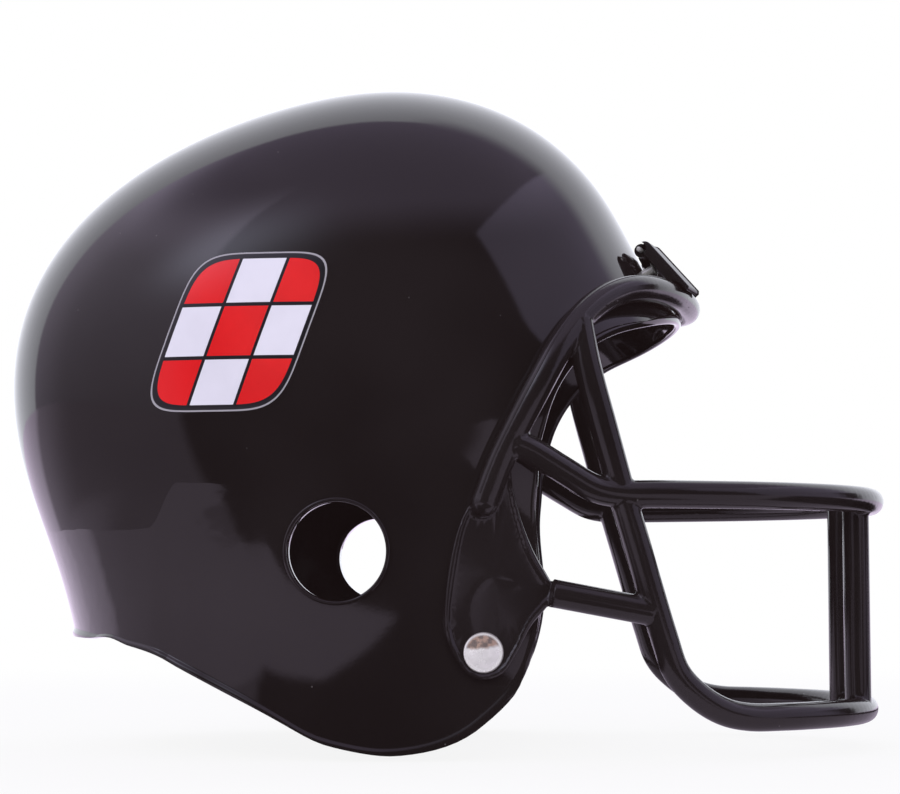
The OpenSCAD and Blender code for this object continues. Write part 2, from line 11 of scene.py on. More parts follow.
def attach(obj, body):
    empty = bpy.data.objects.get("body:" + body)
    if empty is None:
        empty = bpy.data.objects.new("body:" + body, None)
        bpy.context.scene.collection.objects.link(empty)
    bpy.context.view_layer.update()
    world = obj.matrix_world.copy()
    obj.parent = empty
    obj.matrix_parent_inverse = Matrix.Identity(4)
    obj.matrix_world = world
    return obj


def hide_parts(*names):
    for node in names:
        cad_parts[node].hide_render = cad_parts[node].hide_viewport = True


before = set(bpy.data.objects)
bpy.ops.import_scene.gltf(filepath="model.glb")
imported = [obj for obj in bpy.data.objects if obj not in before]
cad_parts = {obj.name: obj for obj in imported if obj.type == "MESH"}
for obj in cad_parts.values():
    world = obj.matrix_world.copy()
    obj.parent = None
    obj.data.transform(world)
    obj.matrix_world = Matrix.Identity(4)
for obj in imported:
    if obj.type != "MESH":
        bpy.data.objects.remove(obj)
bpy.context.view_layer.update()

bl_info = {
    "name": "Sports Helmet Looks",
    "version": (1, 0, 0),
    "blender": (4, 5, 0),
    "location": "View3D > Sidebar > Helmet",
    "description": "Smooth moulded pieces, finishes and studio for the sports helmet",
    "category": "Object",
}

MM = 0.001
SIDES = ((-1, "right"), (1, "left"))

# Place of the ear axis in the frame, and of the stud beside the ear axis, in mm.
EAR = Vector((-29.8991, 0, 64.1010))
STUD_X, STUD_DROP = 44.8, 30.8

# The shell's outline controls every 20 degrees, as in the part's source.
OUTLINE = (1.21, 0.978, 1.048, 1.081, 1.038, 0.969, 0.957, 0.985, 1.013, 0.999, 0.975, 1.016,
           1.339, 2.483, 2.901, 1.998, 1.181, 1.142)
HALF_LEN, HALF_W, CROWN_H, WIDEST_Z, BACK = 112.5, 92.0, 105.0, 52.0, 6.0
FLATNESS = 0.38
WALL = 2.4
NAPE_A, BROW_A, ARCH_BROW_A = 223.2, 14.2, 16.1
ARCH_CLIP = (27, 17.4)
EDGE = ((-80, -26.2), (-66, -28.6), (-52, -33.5), (-27, -46), (-3, -58.1), (19, -61.1),
        (43.2, -52.9), (58.2, -34.6), (61.6, -8), (60.4, 18), (62.2, 36), (66.7, 50),
        (74.2, 61.5), (84.2, 69.5), (97.2, 74.7))
RIBS, CROSS, SPEED_STEP = 120, 40, 0.004
# Rows of the sheet beside its edge: distance from the edge, and height of the rolled rim there.
ROWS = (0, 0.6, 1.2, 1.65, 1.95, 2.2, 2.45, 2.8, 4.2)
RISE = (1.0, 1.0, 0.96, 0.84, 0.64, 0.37, 0.11, 0.02, 0)
# The rim's section past the edge: reach past it and height over the middle of the wall.
RIM = ((0.45, 2.1), (0.9, 1.8), (1.25, 1.4), (1.5, 0.95), (1.6, 0.35), (1.55, -0.3), (1.35, -0.9),
       (1.0, -1.22), (0.5, -1.3))
# The edge is free of the guard behind one place and below another, each with a fade, and has
# this share of the rim's height elsewhere.
FREE_X, FADE_X, FREE_Z, FADE_Z, UNDER_GUARD = 38, 12, -36, 6, 0.35
# The ear hole's collar and cut, and the stud's post, inner boss and hole.
EAR_R, COLLAR_W, COLLAR_OUT, COLLAR_LEN = 15.2, 1.3, 0.9, 8.0
EAR_CUT_IN, EAR_CUT_OUT, EAR_SIDES = 14, 9, 96
POST_R, BOSS_R, BOSS_OUT, BOSS_FOOT = 2.5, 6.5, 2.0, 0.6
STUD_HOLE_IN, STUD_HOLE_OUT, HOLE_ROOM = 60, 110, 0.05
# How near the skin, and how much along it, a face lies that takes the skin's normals.
ON_SKIN, ALONG_SKIN = 0.08, 0.95

# The guard's bars and plates.
BAR_R = 4.35
HOOP = ((54.5, -89.8, 33), (60, -88.5, 30.6), (70, -86, 24.5), (79, -83.5, 19.4), (88, -81, 17.8),
        (99, -78, 17.8), (111.8, -74, 17.8), (131.8, -66, 17.8), (147.8, -54.5, 17.8),
        (160.8, -40, 17.8), (169.8, -22, 17.8), (173.8, 0, 17.8))
POSTS = ((74.5, -79.5, 71), (77, -81.8, 57), (82, -81.5, 38), (87.5, -80.5, 17.5), (92, -79.3, 2),
         (96.3, -78.5, -13), (100.3, -77.5, -26.5), (104, -76.2, -37), (110.4, -74.3, -44.2),
         (118.4, -71.6, -49.2), (127, -68, -51.2), (137.8, -62, -51.4), (147.8, -53.5, -51.4),
         (159.3, -39.5, -51.4), (167.3, -22, -51.4), (171, 0, -51.4))
ARCH = ((45.3, 15), (50.3, 28), (56.2, 40), (62.5, 52), (69, 64), (77, 75), (86, 82),
        (96.5, 85.2))
TEMPLE_GAP, BROW_GAP, TEMPLE_Z, TEMPLE_RISE = 0.4, 0.6, 40, 42
ARCH_STEPS, BAR_STEPS = 8, 6
UPRIGHT_X, UPRIGHT_Y, HOOP_Z, CHIN_Z = 166.3, 22.0, 17.8, -51.4
STRUT = ((65.6, -82.9, -12.7), (96.5, -78.5, -18.5))
PLATE = ((45.2, 20), (39.5, 12.5), (35.8, 2), (33.4, -13), (33.6, -26), (38.2, -35.4), (44, -39),
         (50.6, -37.2), (55, -31), (59.4, -22.8), (64.2, -17), (67.5, -12.5), (64.5, -7.8),
         (60, 0.5), (56.4, 10), (54, 19), (52.2, 28))
PLATE_MIDDLE, PLATE_SIDES = (48, -8), 144
PLATE_GAP, PLATE_T, SWING, SWING_STEPS = 0.9, 2.4, 35, 7
# The plate's raised border: distance from its edge, and share of the border's height.
BORDER_H = 0.9
BORDER = ((3, 0), (2.6, 0.05), (2.1, 0.4), (1.6, 0.85), (1.1, 1), (0.5, 0.75), (0.15, 0.3))
CAP_R, CAP_H, CAP_EDGE, CAP_GAP, CAP_FREE, CAP_FADE = 6.25, 1.7, 0.5, 0.1, 0.3, 1.2
VOXEL, FILLET, FILLET_PROUD, GUARD_FACES, SIDES_ROUND = 0.5, 0.3, 0.12, 180000, 64
RIDGE_TURN, RIDGE_R, RIDGE_OUT = 42, 0.4, 0.15

# The brow clips, in their own frame: X out of the shell, Y along the hinge, Z up the shell.
CLIP_Y, CLIP_A, CLIP_W = 25.0, 26.948, 16.0
LEAF_T, LEAF_LEN, LEAF_LIFT, LUG_DOWN = 3.3, 12.0, 0.6, 3.4
FLAP_T, FLAP_LEN, FLAP_LEAN = 4.0, 21.4, 14.3
HINGE_OUT, KNUCKLE_R, PIN_R, SIDE_PLAY = 3.6, 2.3, 0.8, 0.25
BAR_PLAY, BAR_SPOT = 0.25, (6.164, -19.07)
FLAP_CORNER, NOSE_R, PIN_ROUND = 0.6, 2.4, 0.3
LEAF_BEVEL, LUG_BEVEL, FLAP_BEVEL = 0.45, 0.3, 0.4
RIVET_R, RIVET_TAIL, RIVET_DOWN = 1.5, 1.9, 6.8
RIVET_HEAD = ((2.6, 0), (2.6, 0.12), (2.4, 0.35), (2.0, 0.55), (1.4, 0.7), (0.7, 0.78), (0, 0.8))

# The printed labels.
LABEL_LEN, LABEL_H, LABEL_X, LABEL_Z = 62.0, 50.0, -31.0, 68.0
LABEL_LIFT, LABEL_T, LABEL_SHEAR = 0.15, 0.3, 0.35
LABEL_ROUND, LABEL_SIDES, LABEL_TOP_RINGS, LABEL_BACK_RINGS, CHECKS = 5, 120, 12, 6, 3
PRINT_PLACES = ("rim", "column", "row")

# Tones of the finishes, and in metres the skirt's crease and the inner rim of a cap's edge.
# The first colour is a faint painted glow of the black plastic that lifts its shade; the dust is
# real.
PAINTED_GLOW, DUST = (0.0062, 0.0036, 0.0036, 1), (0.16, 0.15, 0.145, 1)
# Colours of the painted reflection on a stud cap's upper part.
DARK_REFLECTION, PALE_REFLECTION = (0.13, 0.085, 0.07, 1), (0.42, 0.27, 0.20, 1)
# The first tone is painted shade along a stud cap's rounded edge.
EDGE_SHADE, EDGE_IN, PLATED = (0.30, 0.28, 0.27, 1), 0.0057, 0.25
KEYLINE, CUT_EDGE = (0.012, 0.01, 0.012, 1), (0.35, 0.34, 0.36, 1)
CREASE_Z, CREASE_DROP, CREASE_DEEP, SKIRT_H = 0.0700, 0.014, 0.0034, 0.05

# The photograph's camera: place, turns in degrees and lens.
CAMERA_AT, CAMERA_TURN, CAMERA_LIFT = (37.70, -810, 52.30), 2.615, 4.681
SENSOR, LENS, FAR_CLIP = 36, 94.28, 50

# What reflections see: strengths of the floor's patches, and of the studio's panels by colour.
NEAR_GLARE, FRONT_GLARE, BACK_GLARE, MOST_GLARE = 0.62, 0.5, 1.2, 1.3
GLARE_TINT = (1, 0.86, 1.1, 1)
ABOVE_LIGHT, GLOW_LIGHT, LEFT_LIGHT = (0.50, 0.43, 0.62), (1.5, 1.55, 1.95), (1.0, 0.90, 1.14)
RIGHT_LIGHT, BEHIND_LIGHT, DARK = (0.56, 0.50, 0.72), (1.30, 1.32, 1.44), 0.004


def outline_at(turn):
    """Share of the outline at an angle in degrees, by its closed cubic spline."""
    count = len(OUTLINE)
    t = (turn + 360) * count / 360
    i = floor(t)
    f = t - i
    weights = ((1 - f) ** 3, 3 * f ** 3 - 6 * f * f + 4,
               -3 * f ** 3 + 3 * f * f + 3 * f + 1, f ** 3)
    return sum(w * OUTLINE[(i + k - 1 + count) % count] for k, w in enumerate(weights)) / 6


def side_y(share, grow):
    """Half width of the shell at a share of its outline."""
    return (HALF_W + grow) * sqrt(max(0, (1 - share * share) / (1 - FLATNESS * share * share)))


def skin(a, turn, grow=0.0):
    """A point of the skin by its angle and its turn from the ear towards the middle."""
    s = sin(radians(turn)) * outline_at(a)
    return Vector(((HALF_LEN + grow) * s * cos(radians(a)) - BACK,
                   side_y(sin(radians(turn)), grow) * (1 if turn <= 90.001 else -1),
                   (CROWN_H + grow) * s * sin(radians(a)) + WIDEST_Z))


def share_at(x, z, grow=0.0):
    """How far out towards the outline a place in the side view lies."""
    u, v = (x + BACK) / (HALF_LEN + grow), (z - WIDEST_Z) / (CROWN_H + grow)
    return hypot(u, v) / outline_at(degrees(atan2(v, u)))


def over(x, z, grow=0.0):
    """Half width of the shell over a place in the side view."""
    return side_y(min(1, share_at(x, z, grow)), grow)


def level(p):
    """Zero on the outer skin and positive outside it."""
    k = min(1, (p.y / HALF_W) ** 2)
    return share_at(p.x, p.z) ** 2 - (1 - k) / (1 - k * FLATNESS)


def turn_for(y):
    """Turn from the ear at which the skin has a given distance from the centre line."""
    k = (y / HALF_W) ** 2
    return degrees(asin(sqrt((1 - k) / (1 - k * FLATNESS))))


def skin_normal(p, step=0.05):
    """Way out of the skin at a point, and the point's distance from the skin."""
    slope = Vector([(level(p + d) - level(p - d)) / (2 * step)
                    for d in (Vector((step, 0, 0)), Vector((0, step, 0)), Vector((0, 0, step)))])
    return slope.normalized(), level(p) / slope.length


def chart(x, z):
    """A place in the side view on the flat chart whose rim is the centre line."""
    u, v = (x + BACK) / HALF_LEN, (z - WIDEST_Z) / CROWN_H
    a = atan2(v, u)
    reach = degrees(asin(min(1, hypot(u, v) / outline_at(degrees(a)))))
    return Vector((reach * cos(a), reach * sin(a)))


def rim(a):
    """The chart's rim, which is the centre line, at an angle."""
    return Vector((90 * cos(radians(a)), 90 * sin(radians(a))))


def off_chart(p, grow):
    """The skin's point for a place on the chart."""
    return skin(degrees(atan2(p.y, p.x)), p.length, grow)


def curve_at(points, t):
    """A smooth curve through points; its two end points only lean on it."""
    i = min(max(floor(t), 0), len(points) - 4)
    f = t - i
    a, b, c, d = (Vector(p) for p in points[i:i + 4])
    return 0.5 * (2 * b + (c - a) * f + (2 * a - 5 * b + 4 * c - d) * f * f
                  + (3 * b - a - 3 * c + d) * f ** 3)


def smooth(points, steps):
    """Points along the smooth curve through all the given ones, mirrored to the other side."""
    points = [Vector(p) for p in points]
    points += [Vector((p.x, -p.y, p.z)) for p in reversed(points[:-1])]
    points = [2 * points[0] - points[1], *points, 2 * points[-1] - points[-2]]
    return [curve_at(points, k / steps) for k in range((len(points) - 3) * steps + 1)]


EDGE_CHART = [chart(*p) for p in EDGE]
LAST = len(EDGE) - 1


def past_rim(p):
    """A place's mirror image beyond the chart's rim."""
    return p.normalized() * (180 - p.length)


EDGE_ROUTE = [past_rim(EDGE_CHART[0]), rim(NAPE_A), *EDGE_CHART, rim(BROW_A),
              past_rim(EDGE_CHART[-1])]


def edge(t):
    """The sheet's edge: 0 is the nape, 1 its corner, and the brow lies past the last point."""
    return curve_at(EDGE_ROUTE, t)


def sheet_point(q, j, grow=0.0):
    """A point of the sheet by its share from nape to brow and its place from side to side."""
    s = 1 - abs(j)
    side, crown = edge(1 + q * LAST), rim(NAPE_A + q * (BROW_A - NAPE_A))
    back, front = edge(1 - s), edge(1 + LAST + s)
    p = ((1 - s) * side + s * crown + (1 - q) * back + q * front
         - (1 - s) * ((1 - q) * edge(1) + q * edge(1 + LAST))
         - s * ((1 - q) * rim(NAPE_A) + q * rim(BROW_A)))
    p = off_chart(p, grow)
    return Vector((p.x, -p.y, p.z)) if j < 0 else p


def swung(x, z, turn):
    """Where a place beside the stud was before the guard swung by a turn."""
    u, v = x - STUD_X, z + STUD_DROP
    c, s = cos(radians(turn)), sin(radians(turn))
    return STUD_X + u * c + v * s, v * c - u * s - STUD_DROP


def plate_back(x, z):
    """Distance of the cheek plate's back, clear of the shell all through the swing."""
    turns = (SWING * k / SWING_STEPS for k in range(SWING_STEPS + 1))
    return PLATE_GAP + max(over(*swung(x, z, turn)) for turn in turns)


def arch_points():
    """The right half of the arch's route, at a set room from the skin."""
    found = []
    for x, z in ARCH:
        f = min(1, max(0, (z - TEMPLE_Z) / TEMPLE_RISE))
        room = TEMPLE_GAP + (BROW_GAP - TEMPLE_GAP) * f
        found.append(Vector((x, -over(x, z, BAR_R + room), z)))
    beside = skin(ARCH_CLIP[1], turn_for(ARCH_CLIP[0]), BAR_R + BROW_GAP / 2)
    beside.y = -beside.y
    return [*found, beside, skin(ARCH_BROW_A, 90, BAR_R + BROW_GAP)]


# ---- helpers for modelling

def deselect_all():
    bpy.ops.object.select_all(action="DESELECT")


def use(*pieces):
    """Selects these objects alone, with the last one active."""
    deselect_all()
    for piece in pieces:
        piece.select_set(True)
    bpy.context.view_layer.objects.active = pieces[-1]
    return pieces[-1]


def fresh(name):
    """Names the object that an operator has just made."""
    piece = bpy.context.object
    piece.name = piece.data.name = name
    return piece


def place(piece, matrix):
    """Moves the mesh itself, so that its object stays at the origin."""
    piece.data.transform(matrix)
    piece.data.update()
    return piece


def wrapped(name, across, along, where):
    """A grid primitive whose vertices are laid on a surface by their shares of both ways."""
    deselect_all()
    bpy.ops.mesh.primitive_grid_add(x_subdivisions=across, y_subdivisions=along, size=1)
    piece = fresh(name)
    for v in piece.data.vertices:
        i, j = round((v.co.x + 0.5) * across), round((v.co.y + 0.5) * along)
        v.co = where(i, j)
    return piece


def edit(piece, *steps):
    """Runs edit mode steps on the whole mesh."""
    use(piece)
    bpy.ops.object.mode_set(mode="EDIT")
    bpy.ops.mesh.select_all(action="SELECT")
    for step in steps:
        step()
    bpy.ops.object.mode_set(mode="OBJECT")
    return piece


def merge(reach=0.0005):
    return lambda: bpy.ops.mesh.remove_doubles(threshold=reach)


def outwards():
    bpy.ops.mesh.normals_make_consistent(inside=False)


def turned_over():
    bpy.ops.mesh.flip_normals()


def modifier(piece, kind, **settings):
    """Adds a modifier, sets it and applies it."""
    use(piece)
    bpy.ops.object.modifier_add(type=kind)
    added = piece.modifiers[-1]
    for key, value in settings.items():
        setattr(added, key, value)
    bpy.ops.object.modifier_apply(modifier=added.name)
    return piece


def joined(name, *pieces):
    use(*pieces)
    bpy.ops.object.join()
    return fresh(name)


def carve(piece, tool, way="DIFFERENCE"):
    """Cuts a piece with a tool, or joins the two, and uses the tool up."""
    modifier(piece, "BOOLEAN", operation=way, solver="EXACT", object=tool)
    bpy.data.objects.remove(tool)
    return piece


def rod(name, a, b, radius, sides=48):
    """A cylinder between two points."""
    a, b = Vector(a), Vector(b)
    deselect_all()
    bpy.ops.mesh.primitive_cylinder_add(vertices=sides, radius=radius, depth=(b - a).length)
    turn = (b - a).to_track_quat("Z", "Y").to_matrix().to_4x4()
    return place(fresh(name), Matrix.Translation((a + b) / 2) @ turn)


def ball(name, middle, radius):
    deselect_all()
    bpy.ops.mesh.primitive_uv_sphere_add(segments=64, ring_count=32, radius=radius)
    return place(fresh(name), Matrix.Translation(middle))


def lathe(name, profile, matrix, steps=96):
    """A closed profile of radius and height, spun round the Z axis and then placed."""
    deselect_all()
    bpy.ops.mesh.primitive_circle_add(vertices=len(profile), radius=1, fill_type="NOTHING")
    piece = fresh(name)
    for v, (r, h) in zip(piece.data.vertices, profile):
        v.co = (r, 0, h)
    edit(piece,
         lambda: bpy.ops.mesh.spin(steps=steps, angle=2 * pi, center=(0, 0, 0), axis=(0, 0, 1)),
         merge(), outwards)
    return place(piece, matrix)


def tube(name, points, radius, sides=64):
    """A round bar along a route."""
    deselect_all()
    bpy.ops.curve.primitive_nurbs_path_add()
    piece = bpy.context.object
    curve = piece.data
    curve.splines.clear()
    line = curve.splines.new("POLY")
    line.points.add(len(points) - 1)
    for knot, p in zip(line.points, points):
        knot.co = (*p, 1)
    curve.bevel_depth = radius
    curve.bevel_resolution = sides // 4 - 2
    curve.use_fill_caps = True
    bpy.ops.object.convert(target="MESH")
    return fresh(name)


def soften(piece, angle):
    """Smooth shading that keeps the edges sharper than an angle."""
    use(piece)
    bpy.ops.object.shade_smooth_by_angle(angle=radians(angle))
    return piece


def settle(piece, body, slot, *nodes):
    """Brings a finished piece from millimetres into the frame and ties it to its body."""
    place(piece, Matrix.Diagonal((MM, MM, MM, 1)) @ Matrix.Translation(EAR))
    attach(piece, body)
    if nodes:
        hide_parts(*nodes)
    return piece


def mirrored(piece, name):
    """A copy on the helmet's other side, with its own mesh."""
    use(piece)
    bpy.ops.object.duplicate()
    twin = fresh(name)
    place(twin, Matrix.Diagonal((1, -1, 1, 1)))
    return edit(twin, turned_over)


# ---- the shell

def edge_loop():
    """The numbers of the rows and columns along the sheet's edge, in order."""
    ways = [(i, 0) for i in range(RIBS)]
    ways += [(RIBS, j) for j in range(2 * CROSS)]
    ways += [(i, 2 * CROSS) for i in range(RIBS, 0, -1)]
    ways += [(0, j) for j in range(2 * CROSS, 0, -1)]
    return ways


def spread(k, count, speeds):
    """Share of a row: narrow rows at set distances from each end, and even ones between."""
    ends = len(ROWS)
    first, last = (ROWS[-1] / speed for speed in speeds)
    if k < ends:
        return ROWS[k] / speeds[0]
    if k > count - ends:
        return 1 - ROWS[count - k] / speeds[1]
    return first + (1 - first - last) * (k - ends + 1) / (count - 2 * ends + 2)


def speeds_at(where):
    """How many mm a share of 1 would be at the start and the end of a row."""
    return [(where(end) - where(end + step)).length / abs(step)
            for end, step in ((0, SPEED_STEP), (1, -SPEED_STEP))]


ACROSS = [speeds_at(lambda v, i=i: sheet_point(i / RIBS, 2 * v - 1)) for i in range(RIBS + 1)]
ALONG = [speeds_at(lambda q, j=j: sheet_point(q, j / CROSS - 1)) for j in range(2 * CROSS + 1)]


def free_of_guard(p):
    """1 where the edge is free, and less where the guard lies over it."""
    return min(1, max(UNDER_GUARD, (FREE_X - p.x) / FADE_X, (FREE_Z - p.z) / FADE_Z))


def sheet_cell(i, j, grow=0.0):
    """The sheet's point in a row and a column."""
    return sheet_point(spread(i, RIBS, ALONG[j]), 2 * spread(j, 2 * CROSS, ACROSS[i]) - 1, grow)


def skin_cell(i, j):
    """A point of the outer skin, which rises into the rolled rim beside the edge."""
    p = sheet_cell(i, j)
    from_edge = min(i, RIBS - i, j, 2 * CROSS - j)
    if from_edge < len(RISE):
        p = sheet_cell(i, j, RISE[from_edge] * free_of_guard(p))
    return p


def make_shell():
    """The moulded sheet with its rolled rim, collared ear holes, bosses and holes."""
    outer = wrapped("outer", RIBS, 2 * CROSS, skin_cell)
    inner = wrapped("inner", RIBS, 2 * CROSS, lambda i, j: sheet_cell(i, j, -WALL))
    ways = edge_loop()
    count = len(ways)
    tops = [skin_cell(*way) for way in ways]
    outs = [sheet_cell(*way) for way in ways]
    ins = [sheet_cell(*way, -WALL) for way in ways]

    def rim_point(k, r):
        k %= count
        if r == 0:
            return tops[k]
        if r > len(RIM):
            return ins[k]
        up = (outs[k] - ins[k]).normalized()
        away = (outs[(k + 1) % count] - outs[k - 1]).cross(up).normalized()
        reach, height = RIM[r - 1]
        proud = (WALL / 2 + RISE[0] * free_of_guard(outs[k])) / (WALL / 2 + RISE[0])
        return (outs[k] + ins[k]) / 2 + away * reach + up * height * (proud if height > 0 else 1)

    rolled = wrapped("rim", count, len(RIM) + 1, rim_point)
    shell = joined("helmet_shell", inner, rolled, outer)
    edit(shell, merge(), outwards)
    cutters = []
    for side in (-1, 1):
        wall = side * over(0, 0)
        cutters.append(rod("cut", (0, wall - side * EAR_CUT_IN, 0),
                           (0, wall + side * EAR_CUT_OUT, 0), EAR_R + COLLAR_W / 2, EAR_SIDES))
    shell = carve(shell, joined("cuts", *cutters))
    lip = COLLAR_W / 2
    profile = [(EAR_R + lip - lip * cos(radians(t)), lip * sin(radians(t)))
               for t in range(0, 181, 20)]
    profile += [(EAR_R + COLLAR_W, lip - COLLAR_LEN), (EAR_R, lip - COLLAR_LEN)]
    top = over(0, 0) + COLLAR_OUT - lip
    rings = [lathe("collar", profile, Matrix.Translation((0, side * top, 0))
                   @ Matrix.Rotation(radians(-90 * side), 4, "X")) for side in (-1, 1)]
    shell = carve(shell, joined("collars", *rings), "UNION")
    bosses = []
    for side in (-1, 1):
        outer_y = over(STUD_X, -STUD_DROP) - WALL / 2
        boss = rod("boss", (STUD_X, 0, -STUD_DROP), (STUD_X, 1, -STUD_DROP), BOSS_R)
        for v in boss.data.vertices:
            deep = v.co.y < 0.5
            v.co.y = side * (outer_y - WALL / 2 - BOSS_OUT if deep
                             else over(v.co.x, v.co.z) - WALL * BOSS_FOOT)
        if side < 0:
            edit(boss, turned_over)
        bosses.append(boss)
    shell = carve(shell, joined("bosses", *bosses), "UNION")
    holes = [rod("hole", (STUD_X, side * STUD_HOLE_IN, -STUD_DROP),
                 (STUD_X, side * STUD_HOLE_OUT, -STUD_DROP), POST_R + HOLE_ROOM)
             for side in (-1, 1)]
    for side in (-1, 1):
        hole = rod("hole", (-8, 0, -RIVET_DOWN), (8, 0, -RIVET_DOWN), RIVET_R + HOLE_ROOM)
        holes.append(place(hole, clip_matrix(side)))
    shell = carve(shell, joined("holes", *holes))
    soften(shell, 35)
    true_normals(shell)
    return shell


def true_normals(piece):
    """Gives every corner on the outer skin the skin's own normal, so that gloss stays even."""
    mesh = piece.data
    given = []
    cache = {}
    for face in mesh.polygons:
        for v in face.vertices:
            if v not in cache:
                cache[v] = skin_normal(mesh.vertices[v].co)
            normal, height = cache[v]
            fits = abs(height) < ON_SKIN and normal.dot(face.normal) > ALONG_SKIN
            given.append(normal if fits else Vector((0, 0, 0)))
    mesh.normals_split_custom_set(given)


# ---- the face guard

def cheek_plate():
    """The plate by which the guard sits on its stud, with a thin raised border."""
    centre = 30
    route = [PLATE[-1], *PLATE, *PLATE[:2]]
    rings = ((centre, PLATE_T), (12, PLATE_T),
             *((inset, PLATE_T + share * BORDER_H) for inset, share in BORDER),
             (0, PLATE_T - 0.5), (0, 0.2), (0.3, 0), (12, 0), (centre, 0))
    middle = Vector(PLATE_MIDDLE)
    outline = [curve_at(route, k * len(PLATE) / PLATE_SIDES) - middle
               for k in range(PLATE_SIDES)]

    def point(k, r):
        inset, height = rings[r]
        reach = outline[k % PLATE_SIDES]
        p = middle + reach * (max(0, 1 - inset / reach.length) if inset < centre else 0)
        if height > PLATE_T:
            from_cap = (p - Vector((STUD_X, -STUD_DROP))).length - CAP_R
            share = min(1, max(0, (from_cap - CAP_FREE) / CAP_FADE))
            height = PLATE_T + (height - PLATE_T) * share
        return Vector((p.x, -plate_back(p.x, p.y) - height, p.y))

    return edit(wrapped("plate", PLATE_SIDES, len(rings) - 1, point), merge(), outwards)


def snapped(piece, source):
    """Draws each vertex onto the pieces it was moulded from, except in their fillets."""
    tree = BVHTree.FromObject(source, bpy.context.evaluated_depsgraph_get())
    for v in piece.data.vertices:
        spot, normal, _, gap = tree.find_nearest(v.co)
        if (v.co - spot).dot(normal) < FILLET_PROUD:
            v.co = v.co.lerp(spot, min(1, max(0, (FILLET - gap) / (0.5 * FILLET))))
    return piece


def parting_line(route):
    """The fine ridge along the arch where the two halves of its mould met."""
    spots = []
    for k in range(1, len(route) - 1):
        out, _ = skin_normal(route[k])
        along = (route[k + 1] - route[k - 1]).normalized()
        lean = out * cos(radians(RIDGE_TURN)) + out.cross(along) * sin(radians(RIDGE_TURN))
        spots.append(route[k] + lean.normalized() * (BAR_R - RIDGE_R + RIDGE_OUT))
    return tube("ridge", spots, RIDGE_R, 16)


def make_guard():
    """The one-piece guard: bars and plates fused with small fillets, with its parting line."""
    arch = smooth(arch_points(), ARCH_STEPS)
    parts = [tube("arch", arch, BAR_R), ball("end", arch[0], BAR_R), ball("end", arch[-1], BAR_R),
             tube("hoop", smooth(HOOP, BAR_STEPS), BAR_R),
             tube("posts", smooth(POSTS, BAR_STEPS), BAR_R)]
    for side in (-1, 1):
        start, end = ((x, -side * y, z) for x, y, z in STRUT)
        parts += [rod("strut", start, end, BAR_R, SIDES_ROUND),
                  ball("end", (POSTS[0][0], -side * POSTS[0][1], POSTS[0][2]), BAR_R),
                  rod("upright", (UPRIGHT_X, side * UPRIGHT_Y, CHIN_Z),
                      (UPRIGHT_X, side * UPRIGHT_Y, HOOP_Z), BAR_R, SIDES_ROUND)]
    plate = cheek_plate()
    parts += [plate, mirrored(plate, "plate_left")]
    source = joined("bars", *parts)
    bpy.ops.object.duplicate()
    guard = fresh("moulded_guard")
    modifier(guard, "REMESH", mode="VOXEL", voxel_size=VOXEL)
    modifier(guard, "SMOOTH", factor=0.5, iterations=10)
    snapped(guard, source)
    bpy.data.objects.remove(source)
    modifier(guard, "DECIMATE", ratio=GUARD_FACES / (2 * len(guard.data.polygons)))
    guard = joined("moulded_guard", parting_line(arch), guard)
    soften(guard, 60)
    return guard


# ---- the studs

def stud_matrix(side):
    """Z out of the cheek plate, along the stud's leaning axis."""
    y = plate_back(STUD_X, -STUD_DROP) + PLATE_T + CAP_GAP
    back, front = (plate_back(STUD_X + step, -STUD_DROP) for step in (-1, 1))
    lean = degrees(atan2(front - back, 2))
    turn = Matrix.Rotation(radians(-90 if side > 0 else 90), 4, "X")
    tilt = Matrix.Rotation(radians(-lean), 4, "Y")
    return Matrix.Translation((STUD_X, side * y, -STUD_DROP)) @ turn @ tilt


def make_cap(side, name):
    """A stud's cap: a low dome with a rounded edge."""
    edge_r, dome_h = CAP_R - CAP_EDGE, CAP_H - CAP_EDGE
    dome_r = (edge_r ** 2 + dome_h ** 2) / (2 * dome_h)
    profile = [(0, 0), (edge_r, 0)]
    profile += [(edge_r + CAP_EDGE * cos(radians(t)), CAP_EDGE + CAP_EDGE * sin(radians(t)))
                for t in range(-60, 91, 30)]
    profile += [(edge_r * k / 10, CAP_H - dome_r + sqrt(dome_r ** 2 - (edge_r * k / 10) ** 2))
                for k in range(9, -1, -1)]
    cap = lathe(name, profile, stud_matrix(side))
    return soften(cap, 50)


# ---- the brow clips

def clip_matrix(side):
    """Frame of a clip: X out of the shell, Y along the hinge and Z up the shell."""
    foot = skin(CLIP_A, turn_for(CLIP_Y))
    out, _ = skin_normal(foot)
    foot.y, out.y = side * foot.y, side * out.y
    az = atan2(out.y, out.x)
    return (Matrix.Translation(foot) @ Matrix.Rotation(az, 4, "Z")
            @ Matrix.Rotation(-asin(out.z), 4, "Y"))


def slab(name, outline, width, matrix, bevel):
    """A side outline in X and Z, drawn out along Y, with softened corners."""
    deselect_all()
    bpy.ops.mesh.primitive_circle_add(vertices=len(outline), radius=1, fill_type="NGON")
    piece = fresh(name)
    for v, (x, z) in zip(piece.data.vertices, outline):
        v.co = (x, -width / 2, z)
    edit(piece,
         lambda: bpy.ops.mesh.extrude_region_move(TRANSFORM_OT_translate={"value": (0, width, 0)}),
         outwards)
    modifier(piece, "BEVEL", width=bevel, segments=3, limit_method="ANGLE",
             angle_limit=radians(35))
    return place(piece, matrix)


def arc(x, z, radius, start, end, steps=8):
    """Points of an arc in the side view."""
    turns = (start + (end - start) * k / steps for k in range(steps + 1))
    return [(x + radius * cos(radians(t)), z + radius * sin(radians(t))) for t in turns]


